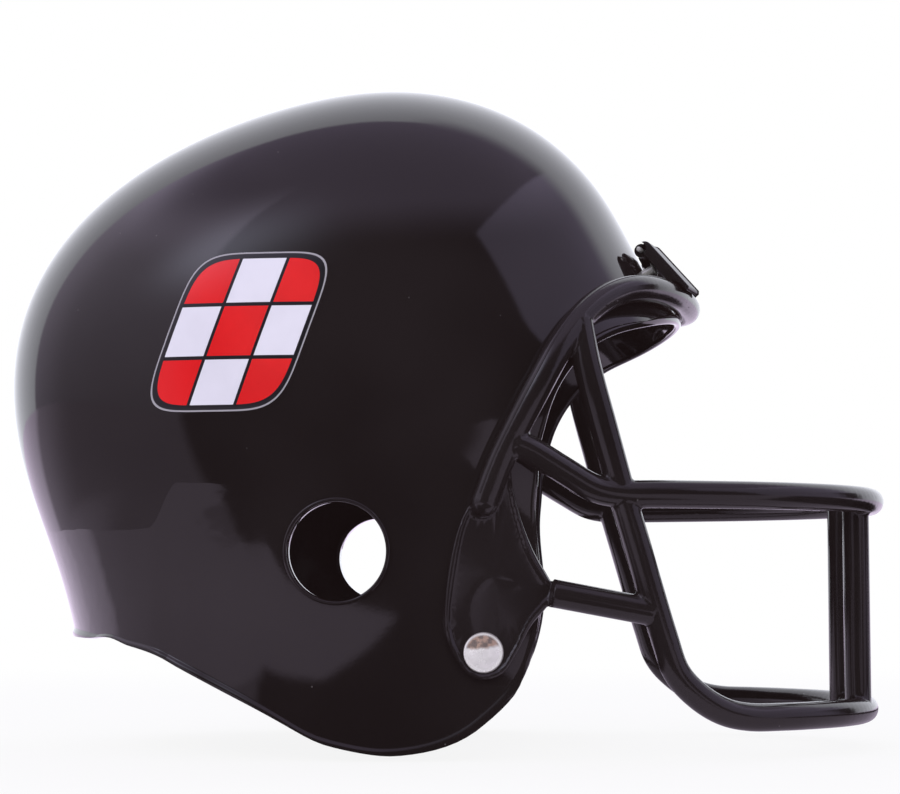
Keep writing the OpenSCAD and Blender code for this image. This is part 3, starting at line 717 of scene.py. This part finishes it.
def make_leaf(name, matrix):
    """The leaf: a riveted plate with a lug at each side for the pin."""
    top = -KNUCKLE_R - SIDE_PLAY
    plate = [(LEAF_LIFT, -LEAF_LEN), (LEAF_LIFT + LEAF_T, -LEAF_LEN), (LEAF_LIFT + LEAF_T, top),
             (LEAF_LIFT, top)]
    inside = LEAF_LIFT + LEAF_T - 0.2
    lug = [(LEAF_LIFT, 0), (LEAF_LIFT, -LUG_DOWN), (inside, -LUG_DOWN), (inside, top + 0.05)]
    lug += arc(HINGE_OUT, 0, KNUCKLE_R, -25, 150, 14)
    width = CLIP_W / 4
    still = Matrix.Identity(4)
    leaf = slab(name, plate, CLIP_W, still, LEAF_BEVEL)
    for way in (-1, 1):
        aside = Matrix.Translation((0, way * (CLIP_W - width) / 2, 0))
        carve(leaf, slab("lug", lug, width, aside, LUG_BEVEL), "UNION")
    carve(leaf, rod("hole", (HINGE_OUT, -CLIP_W, 0), (HINGE_OUT, CLIP_W, 0), PIN_R, 24))
    carve(leaf, rod("hole", (-5, 0, -RIVET_DOWN), (8, 0, -RIVET_DOWN), RIVET_R, 32))
    return soften(place(leaf, matrix), 35)


def make_flap(name, matrix):
    """The flap: a thick strip with a channel under its tip that lies over the arch."""
    lean = radians(FLAP_LEAN)
    dx, dz = BAR_SPOT[0] - HINGE_OUT, BAR_SPOT[1]
    along, out = dx * sin(lean) - dz * cos(lean), dx * cos(lean) + dz * sin(lean)
    channel = BAR_R + BAR_PLAY
    start = degrees(acos(-out / channel))
    outline = [(0, 0)]
    outline += arc(along, out, channel, 90 + start, 90, 10)
    outline += [(FLAP_LEN, out + channel), (FLAP_LEN, FLAP_T - FLAP_CORNER),
                (FLAP_LEN - FLAP_CORNER, FLAP_T)]
    outline += arc(NOSE_R / 2, FLAP_T - NOSE_R, NOSE_R, 90, 180)
    turned = [(HINGE_OUT + s * sin(lean) + o * cos(lean), -s * cos(lean) + o * sin(lean))
              for s, o in outline]
    still = Matrix.Identity(4)
    flap = slab(name, turned, CLIP_W, still, FLAP_BEVEL)
    width = CLIP_W / 4
    for way in (-1, 1):
        y = way * (CLIP_W - width) / 2
        reach = width / 2 + SIDE_PLAY
        carve(flap, rod("gap", (HINGE_OUT, y - reach, 0), (HINGE_OUT, y + reach, 0),
                        KNUCKLE_R + SIDE_PLAY))
    barrel = CLIP_W / 2 - width - SIDE_PLAY
    carve(flap, rod("barrel", (HINGE_OUT, -barrel, 0), (HINGE_OUT, barrel, 0), KNUCKLE_R), "UNION")
    carve(flap, rod("bore", (HINGE_OUT, -CLIP_W, 0), (HINGE_OUT, CLIP_W, 0), PIN_R + HOLE_ROOM, 24))
    return soften(place(flap, matrix), 35)


def make_pin(name, matrix):
    """The hinge pin, with its two ends rounded over."""
    half = CLIP_W / 2
    profile = [(0, -half), (PIN_R * 0.7, -half), (PIN_R, -half + PIN_ROUND),
               (PIN_R, half - PIN_ROUND), (PIN_R * 0.7, half), (0, half)]
    lay = Matrix.Translation((HINGE_OUT, 0, 0)) @ Matrix.Rotation(pi / 2, 4, "X")
    return soften(lathe(name, profile, matrix @ lay, 32), 50)


def make_rivet(name, matrix):
    """The rivet through leaf and shell, with a low domed head."""
    seat = LEAF_LIFT + LEAF_T
    tail = -WALL - RIVET_TAIL
    profile = [(0, tail), (RIVET_R, tail), (RIVET_R, seat),
               *((r, seat + height) for r, height in RIVET_HEAD)]
    lay = Matrix.Translation((0, 0, -RIVET_DOWN)) @ Matrix.Rotation(pi / 2, 4, "Y")
    return soften(lathe(name, profile, matrix @ lay, 48), 50)


# ---- the labels

def make_label(name, side):
    """A printed vinyl skin over the shell's side, with its print's place kept as attributes."""
    top = LABEL_LIFT + LABEL_T
    rings = [(k / LABEL_TOP_RINGS, top) for k in range(LABEL_TOP_RINGS)]
    rings += [(0.99, top), (1, top - 0.1), (1, LABEL_LIFT)]
    rings += [(k / LABEL_BACK_RINGS, LABEL_LIFT) for k in range(LABEL_BACK_RINGS - 1, -1, -1)]
    half_u = (LABEL_LEN - LABEL_SHEAR * LABEL_H) / 2

    def flat(k, share):
        a = 2 * pi * (k % LABEL_SIDES) / LABEL_SIDES
        u = half_u * (1 if cos(a) >= 0 else -1) * abs(cos(a)) ** (2 / LABEL_ROUND)
        v = LABEL_H / 2 * (1 if sin(a) >= 0 else -1) * abs(sin(a)) ** (2 / LABEL_ROUND)
        return share * u, share * v

    def point(k, r):
        share, lift = rings[r]
        u, v = flat(k, share)
        x, z = LABEL_X + u + LABEL_SHEAR * v, LABEL_Z + v
        return Vector((x, side * over(x, z, lift), z))

    label = wrapped(name, LABEL_SIDES, len(rings) - 1, point)
    edit(label, merge(), outwards)
    mesh = label.data
    for word in PRINT_PLACES:
        mesh.attributes.new(word, "FLOAT", "POINT")
    fields = [mesh.attributes[word].data for word in PRINT_PLACES]
    for v, to_rim, column, row in zip(mesh.vertices, *fields):
        z = v.co.z - LABEL_Z
        across, up = (v.co.x - LABEL_X - LABEL_SHEAR * z) / half_u, 2 * z / LABEL_H
        to_rim.value = (abs(across) ** LABEL_ROUND + abs(up) ** LABEL_ROUND) ** (1 / LABEL_ROUND)
        column.value, row.value = across, up
    return soften(label, 50)


# ---- finishes

class Wire:
    """A shader socket that takes part in sums."""

    def __init__(self, paint, socket):
        self.paint, self.socket = paint, socket

    def maths(self, operation, *values):
        return self.paint.node("ShaderNodeMath", {"operation": operation}, *values)

    def __add__(self, other):
        return self.maths("ADD", self, other)

    __radd__ = __add__

    def __sub__(self, other):
        return self.maths("SUBTRACT", self, other)

    def __rsub__(self, other):
        return self.maths("SUBTRACT", other, self)

    def __mul__(self, other):
        return self.maths("MULTIPLY", self, other)

    __rmul__ = __mul__

    def __abs__(self):
        return self.maths("ABSOLUTE", self)

    def most(self, other):
        return self.maths("MAXIMUM", self, other)

    def least(self, other):
        return self.maths("MINIMUM", self, other)

    def along(self, axes):
        """This vector's lengths along the named axes."""
        return [self.paint.node("ShaderNodeSeparateXYZ", (), self, out=axis) for axis in axes]

    def above(self, low, high):
        """0 below low and 1 above high, with a soft step between; high may be the lower one."""
        return self.paint.node("ShaderNodeMapRange", {"interpolation_type": "SMOOTHSTEP"},
                               self, low, high, 0.0, 1.0)


class Paint:
    """The shader of a material or of the world, built by sums of sockets."""

    def __init__(self, owner):
        owner.use_nodes = True
        self.owner, self.tree = owner, owner.node_tree
        self.shader = self.tree.nodes.get("Principled BSDF")

    def node(self, kind, settings=(), *values, out=0, **named):
        made = self.tree.nodes.new(kind)
        for key, value in dict(settings).items():
            setattr(made, key, value)
        for key, value in enumerate(values):
            self.feed(made.inputs[key], value)
        for key, value in named.items():
            self.feed(made.inputs[key.replace("_", " ")], value)
        return Wire(self, made.outputs[out])

    def feed(self, socket, value):
        if isinstance(value, Wire):
            self.tree.links.new(value.socket, socket)
        else:
            socket.default_value = value

    def set(self, **named):
        for key, value in named.items():
            self.feed(self.shader.inputs[key.replace("_", " ")], value)

    def spot(self):
        """Place on the object, in metres."""
        return self.node("ShaderNodeTexCoord", out="Object")

    def where(self, scale=(1, 1, 1)):
        return self.node("ShaderNodeMapping", (), Vector=self.spot(), Scale=scale)

    def noise(self, scale, detail, at=None, rough=0.5):
        return self.node("ShaderNodeTexNoise", (), Vector=at or self.where(), Scale=scale,
                         Detail=detail, Roughness=rough)

    def specks(self, scale, size):
        """Small dots, 1 inside and 0 outside."""
        apart = self.node("ShaderNodeTexVoronoi", (), Vector=self.where(), Scale=scale)
        return apart.above(size, size * 0.6)

    def mix(self, share, a, b):
        made = self.tree.nodes.new("ShaderNodeMix")
        made.data_type = "RGBA"
        for index, value in ((0, share), (6, a), (7, b)):
            self.feed(made.inputs[index], value)
        return Wire(self, made.outputs[2])

    def bump(self, height, depth, under=None):
        """Relief from a height of 0 to 1, with its full depth in metres."""
        made = self.node("ShaderNodeBump", (), Height=height, Distance=depth, Strength=1.0)
        if under:
            self.feed(made.socket.node.inputs["Normal"], under)
        return made


def painted(name):
    """The paint of a new material."""
    return Paint(bpy.data.materials.new(name))


def rgb(colour, share=1.0, more=0.0):
    """A colour for a socket, made darker or paler by a share and a step."""
    return (*(c * share + more for c in colour), 1)


def skirt_crease(paint):
    """Height of the shell's skirt, which turns in a little below a crease behind the ear."""
    x, z = paint.spot().along("XZ")
    line = CREASE_Z + CREASE_DROP * x.above(-0.090, -0.080) + 0.0025 * paint.noise(70, 2)
    below = ((line - z) * (1 / SKIRT_H)).most(0.0).least(1.0)
    return 1.0 - below * x.above(-0.045, -0.072)


def moulded_black(name, colour, gloss, wave, wear, crease=False):
    """Moulded black plastic: slow waves in its gloss, faint grain, dust and fine scratches, and a
    faint painted glow that lifts its shade.
    """
    paint = painted(name)
    cloud = paint.noise(14, 2)
    grain = paint.noise(700, 3)
    lines = paint.noise(1, 3, paint.where((500, 60, 22)), 0.6).above(0.73, 0.79)
    hairs = paint.noise(1, 2, paint.where((30, 40, 620)), 0.6).above(0.75, 0.81)
    dust = paint.specks(95, 0.032)
    marks = (lines + hairs) * paint.noise(11, 2).above(0.5, 0.62)
    tint = paint.mix(cloud.above(0.35, 0.7), rgb(colour), rgb(colour, 1.5, 0.001))
    tint = paint.mix(dust * 0.35, tint, DUST)
    relief = paint.bump(paint.noise(16, 1.5), wave)
    relief = paint.bump(grain, 0.000004, relief)
    if crease:
        relief = paint.bump(skirt_crease(paint), CREASE_DEEP, relief)
    relief = paint.bump(marks, -0.00002 * wear - 0.000001, relief)
    rough = gloss + 0.03 * paint.noise(35, 3) + 0.10 * wear * marks + 0.2 * dust
    # The emission is a painted glow that lifts the plastic's shade; it is no lamp.
    paint.set(Base_Color=tint, Normal=relief, Roughness=rough,
              Emission_Color=PAINTED_GLOW, Emission_Strength=1.0)
    return paint.owner


def satin_metal(name, colour, roughness, reflection_spot=None):
    """Plated metal with a fine drawn grain and small dents; given a spot, a painted reflection
    darkens its upper part and painted shade rings its edge.
    """
    paint = painted(name)
    drawn = paint.noise(1, 3, paint.where((900, 900, 6000)), 0.6)
    cloud = paint.noise(260, 3)
    tint = paint.mix(cloud.above(0.3, 0.75), rgb(colour), rgb(colour, 0.86))
    # Painted reflection: above the given spot, the cap's upper part is coloured dark and brownish
    # in place of the dark studio that its gloss would show.
    if reflection_spot:
        x, z = paint.where().along("XZ")
        x, z = x - reflection_spot[0], z - reflection_spot[1]
        square = x * x + z * z
        middle = square.maths("SQRT", square)
        patch = (z - 0.08 * x + 0.0022 * paint.noise(330, 3)).above(0.0020, 0.0032)
        patch = patch * middle.above(EDGE_IN, 0.0049)
        reflection_tone = paint.mix(paint.noise(520, 3).above(0.42, 0.6), DARK_REFLECTION, PALE_REFLECTION)
        tint = paint.mix(patch * 0.9, tint, reflection_tone)
        # Painted shade: the cap's rounded edge is coloured dark grey.
        tint = paint.mix(middle.above(EDGE_IN, 0.0060), tint, EDGE_SHADE)
    relief = paint.bump(drawn, 0.00001)
    relief = paint.bump(paint.noise(420, 2), 0.00008, relief)
    paint.set(Base_Color=tint, Metallic=PLATED, Normal=relief,
              Roughness=roughness + 0.12 * paint.noise(600, 2))
    return paint.owner


def printed_vinyl(name, red, white):
    """Glossy vinyl with a print of sheared checks, keylines and a pale cut edge."""
    paint = painted(name)
    to_rim, column, row = (paint.node("ShaderNodeAttribute", {"attribute_name": word}, out="Fac")
                           for word in PRINT_PLACES)
    cells = []
    lines = []
    for way in (column, row):
        step = way.maths("FRACT", (way + 1.0) * (CHECKS / 4))
        cells.append(step.above(0.499, 0.501))
        near = way.maths("FRACT", (way + 1.0) * (CHECKS / 2))
        lines.append(abs(near - 0.5).above(0.462, 0.468))
    other = abs(cells[0] - cells[1])
    ink = paint.noise(60, 3)
    reds = paint.mix(ink.above(0.3, 0.8), rgb(red), rgb(red, 0.86))
    whites = paint.mix(ink.above(0.3, 0.8), rgb(white), rgb(white, 0.93))
    face = paint.mix(other, reds, whites)
    key = lines[0].most(lines[1]).most(to_rim.above(0.915, 0.92))
    face = paint.mix(key, face, KEYLINE)
    face = paint.mix(to_rim.above(0.978, 0.982), face, CUT_EDGE)
    relief = paint.bump(paint.noise(26, 1.5), 0.00012)
    relief = paint.bump(paint.noise(1500, 2), 0.000004, relief)
    paint.set(Base_Color=face, Normal=relief,
              Roughness=0.2 + 0.08 * paint.noise(50, 3) + 0.1 * key)
    return paint.owner


def finish(piece, material):
    """Gives a piece one material all over."""
    piece.data.materials.clear()
    piece.data.materials.append(material)
    return piece


# ---- stage

def make_camera():
    """The camera at the photograph's place."""
    deselect_all()
    bpy.ops.object.camera_add(location=Vector(CAMERA_AT) * MM,
                              rotation=(pi / 2 + radians(CAMERA_LIFT), 0, radians(CAMERA_TURN)))
    camera = bpy.context.object
    camera.name = "photo_camera"
    camera.data.sensor_width = SENSOR
    camera.data.lens = LENS
    camera.data.clip_end = FAR_CLIP
    bpy.context.scene.camera = camera


def soft_box(name, spot, aim, width, height, watts):
    """A rectangular lamp at a spot, turned to a point."""
    deselect_all()
    way = Vector(aim) - Vector(spot)
    bpy.ops.object.light_add(type="AREA", location=spot,
                             rotation=way.to_track_quat("-Z", "Y").to_euler())
    lamp = bpy.context.object
    lamp.name = name
    lamp.visible_camera = False
    lamp.data.shape = "RECTANGLE"
    lamp.data.size, lamp.data.size_y = width, height
    lamp.data.energy = watts
    return lamp


def make_floor():
    """A pale floor that keeps the helmet's shadow and runs out into the white behind.

    Gloss rays see the studio in its place: patches between soft steps, in metres or degrees.
    """
    deselect_all()
    bpy.ops.mesh.primitive_plane_add(size=1)
    floor = fresh("floor")
    place(floor, Matrix.Translation((0, 3.2, 0)) @ Matrix.Diagonal((16, 10, 1, 1)))
    paint = painted("pale_floor")
    paint.set(Base_Color=(0.86, 0.86, 0.86, 1), Roughness=0.9)
    spot = paint.spot()
    x, y = spot.along("XY")
    far = paint.node("ShaderNodeVectorMath", {"operation": "LENGTH"}, spot, out="Value")
    far = far.above(0.3, 0.9)
    ray, gloss = (paint.node("ShaderNodeLightPath", out=word)
                  for word in ("Is Camera Ray", "Is Glossy Ray"))
    glow = paint.node("ShaderNodeEmission", (), Color=(1, 1, 1, 1), Strength=1.0)
    seen = paint.node("ShaderNodeMixShader", (), ray * (0.88 + 0.12 * far),
                      Wire(paint, paint.shader.outputs[0]), glow)
    turn = x.maths("ARCTAN2", x, y * -1.0) * degrees(1)
    strip = x.above(-0.26, -0.34) * y.above(-0.95, -0.85) * turn.above(-27, -31)
    near = (x.above(-0.46, -0.40) * strip.most((y - 1.08 * x).above(-0.52, -0.46))
            * (x + 0.25 * y).above(-0.100, -0.112)
            * x.above(-0.12, -0.16).most(y.above(-0.20, -0.23)))
    close = (x.above(0.02, 0.03) * y.above(-0.14, -0.13)
             * x.above(0.24, 0.20) * y.above(-0.48, -0.44))
    front = close.most(x.above(0.125, 0.16) * (y + 0.25 * x).above(-0.06, -0.10)
                       * turn.above(17, 22))
    side = turn.above(-34, -38) * (0.36 + 0.24 * turn.above(-80, -108))
    back = turn.above(-108, -120)
    back += y.above(-0.07, 0.0) * x.above(-0.41, -0.365) * x.above(-0.06, -0.14)
    back += y.above(0.34, 0.42) * x.above(0.05, 0.12)
    glare = side.most(NEAR_GLARE * near).most(FRONT_GLARE * front).most(BACK_GLARE * back)
    mirror = paint.node("ShaderNodeEmission", (), Color=GLARE_TINT,
                        Strength=glare.least(MOST_GLARE))
    both = paint.node("ShaderNodeMixShader", (), gloss, seen, mirror)
    paint.feed(paint.tree.nodes["Material Output"].inputs["Surface"], both)
    finish(floor, paint.owner)


def make_world():
    """The studio all round: soft panels at the left, right, overhead and behind, dark in front."""
    world = bpy.data.worlds.new("studio")
    bpy.context.scene.world = world
    paint = Paint(world)
    x, y, z = paint.node("ShaderNodeTexCoord", out="Generated").along("XYZ")
    az = x.maths("ARCTAN2", x, y * -1.0) * degrees(1)
    el = z.maths("ARCSINE", z) * degrees(1)
    tilt = y + 0.0022 * el
    right_side = x.above(0.0, 0.2)
    behind = (tilt.above(0.455, 0.495) * (1.0 - right_side)
              + right_side * (tilt.above(0.40, 0.62) * el.above(19, 25)
                              + y.above(0.50, 0.60) * el.above(25, 19)))
    clear = 1.0 - behind
    above = el.above(36, 54) * clear
    glow_x, glow_y = (az + 36.0) * (1 / 16), (el - 41.0) * (1 / 10)
    glow = glow_x.maths("EXPONENT", (glow_x * glow_x + glow_y * glow_y) * -1.0)
    rise = paint.node("ShaderNodeMapRange", (), el, -2.0, 36.0, 0.36, 0.86)
    left = az.above(-34, -37) * el.above(64, 46) * clear
    left = left * (rise + 0.08 * az.above(-85, -105))
    low = el.above(20, 25).most(az.above(112, 100) * 0.85)
    right = (az + 0.5 * el).above(57.5, 60.5) * low * clear * (z - 1.25 * x).above(0.035, 0.0)
    panels = ((above, ABOVE_LIGHT), (glow, GLOW_LIGHT), (left, LEFT_LIGHT),
              (right, RIGHT_LIGHT), (behind, BEHIND_LIGHT))
    sums = []
    for channel in range(3):
        total = DARK
        for share, colour in panels:
            total = total + share * colour[channel]
        sums.append(total)
    plain = paint.node("ShaderNodeCombineXYZ", (), *sums)
    ray = paint.node("ShaderNodeLightPath", out="Is Camera Ray")
    colour = paint.mix(ray, plain, (1, 1, 1, 1))
    paint.feed(paint.tree.nodes["Background"].inputs["Color"], colour)


# ---- the add-on

def colour_choice(name, description, default):
    return FloatVectorProperty(name=name, description=description, subtype="COLOR", size=3,
                               min=0, max=1, default=default)


class HelmetLooks(PropertyGroup):
    """Sizes and colours of the finishes that can be changed."""

    shell_colour: colour_choice(
        "Shell colour", "Colour of the moulded shell", (0.0070, 0.0058, 0.0060))
    guard_colour: colour_choice(
        "Guard colour", "Colour of the face guard and clips", (0.0070, 0.0058, 0.0060))
    nickel_colour: colour_choice("Stud colour", "Colour of the plated studs", (0.95, 0.93, 0.90))
    label_red: colour_choice(
        "Label red", "First colour of the labels' print", (0.72, 0.010, 0.012))
    label_white: colour_choice(
        "Label white", "Second colour of the labels' print", (0.74, 0.73, 0.80))
    gloss: FloatProperty(
        name="Gloss", description="Roughness of the moulded shell", subtype="FACTOR",
        min=0.02, max=0.6, default=0.045)
    wave: FloatProperty(
        name="Wave", description="Depth of the slow waves in the shell's gloss", subtype="DISTANCE",
        min=0, max=0.002, default=0.00045)


class HELMET_OT_shell(Operator):
    """Model the moulded shell with its rolled rim and collared ear holes"""
    bl_idname = "helmet.shell"
    bl_label = "Shell"

    def execute(self, context):
        looks = context.scene.helmet_looks
        shell = settle(make_shell(), "shell", "shell_black", "shell")
        finish(shell, moulded_black("shell_plastic", looks.shell_colour, looks.gloss, looks.wave,
                                    1, True))
        return {"FINISHED"}


class HELMET_OT_guard(Operator):
    """Mould the face guard from its bars and cheek plates"""
    bl_idname = "helmet.guard"
    bl_label = "Face guard"

    def execute(self, context):
        looks = context.scene.helmet_looks
        guard = settle(make_guard(), "guard", "guard_black", "face_guard")
        finish(guard, moulded_black("guard_plastic", looks.guard_colour, 0.14, 0.00012, 0.4))
        return {"FINISHED"}


class HELMET_OT_studs(Operator):
    """Turn the domed caps and finish the posts and washers"""
    bl_idname = "helmet.studs"
    bl_label = "Studs"

    def execute(self, context):
        # Each cap's upper part gets a painted reflection about the stud's spot, and its edge gets
        # painted shade.
        nickel = satin_metal("nickel_plate", context.scene.helmet_looks.nickel_colour, 0.2,
                             ((STUD_X + EAR.x) * MM, (EAR.z - STUD_DROP) * MM))
        for side, word in SIDES:
            cap = make_cap(side, word + "_cap")
            finish(settle(cap, "guard", "nickel", word + "_stud_cap"), nickel)
            for part in ("_stud_post", "_stud_washer"):
                finish(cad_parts[word + part], nickel)
        return {"FINISHED"}


class HELMET_OT_clips(Operator):
    """Model the two hinged brow clips with their pins and rivets"""
    bl_idname = "helmet.clips"
    bl_label = "Brow clips"

    def execute(self, context):
        looks = context.scene.helmet_looks
        black = moulded_black("clip_plastic", looks.guard_colour, 0.2, 0.00002, 0.6)
        steel = satin_metal("bright_steel", (0.55, 0.54, 0.53), 0.2)
        for side, word in SIDES:
            at = clip_matrix(side)
            for make, part, body, slot, metal in (
                    (make_leaf, "leaf", "shell", "clip_black", black),
                    (make_flap, "flap", word + "_flap", "clip_black", black),
                    (make_pin, "pin", "shell", "steel", steel),
                    (make_rivet, "rivet", "shell", "steel", steel)):
                piece = make(word + "_hinge_" + part, at)
                finish(settle(piece, body, slot, word + "_clip_" + part), metal)
            finish(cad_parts[word + "_clip_washer"], steel)
        return {"FINISHED"}


class HELMET_OT_labels(Operator):
    """Lay a printed vinyl label over each side of the shell"""
    bl_idname = "helmet.labels"
    bl_label = "Labels"

    def execute(self, context):
        looks = context.scene.helmet_looks
        vinyl = printed_vinyl("printed_vinyl", looks.label_red, looks.label_white)
        for side, word in SIDES:
            label = make_label(word + "_print", side)
            finish(settle(label, "shell", "vinyl", word + "_label"), vinyl)
        return {"FINISHED"}


class HELMET_OT_stage(Operator):
    """Set the camera, the pale floor and the soft studio light"""
    bl_idname = "helmet.stage"
    bl_label = "Studio"

    def execute(self, context):
        context.scene.view_settings.view_transform = "Standard"
        make_camera()
        make_floor()
        make_world()
        fill = soft_box("front_fill", (0.1, -2.4, 0.9), (0, 0, 0.1), 2.4, 1.4, 38)
        fill.visible_glossy = False
        return {"FINISHED"}


class HELMET_PT_looks(Panel):
    """Buttons for the helmet's pieces and values for their finishes"""
    bl_idname = "HELMET_PT_looks"
    bl_label = "Helmet"
    bl_space_type = "VIEW_3D"
    bl_region_type = "UI"
    bl_category = "Helmet"

    def draw(self, context):
        looks = context.scene.helmet_looks
        for name in HelmetLooks.__annotations__:
            self.layout.prop(looks, name)
        for button in BUTTONS:
            self.layout.operator(button.bl_idname)


BUTTONS = (HELMET_OT_shell, HELMET_OT_guard, HELMET_OT_studs, HELMET_OT_clips, HELMET_OT_labels,
           HELMET_OT_stage)


def register():
    for item in (HelmetLooks, *BUTTONS, HELMET_PT_looks):
        bpy.utils.register_class(item)
    bpy.types.Scene.helmet_looks = PointerProperty(type=HelmetLooks)


def unregister():
    del bpy.types.Scene.helmet_looks
    for item in (HELMET_PT_looks, *reversed(BUTTONS), HelmetLooks):
        bpy.utils.unregister_class(item)


def main():
    """Makes the stage and all pieces."""
    register()
    bpy.ops.helmet.stage()
    bpy.ops.helmet.shell()
    bpy.ops.helmet.guard()
    bpy.ops.helmet.studs()
    bpy.ops.helmet.clips()
    bpy.ops.helmet.labels()


if __name__ == "__main__":
    main()
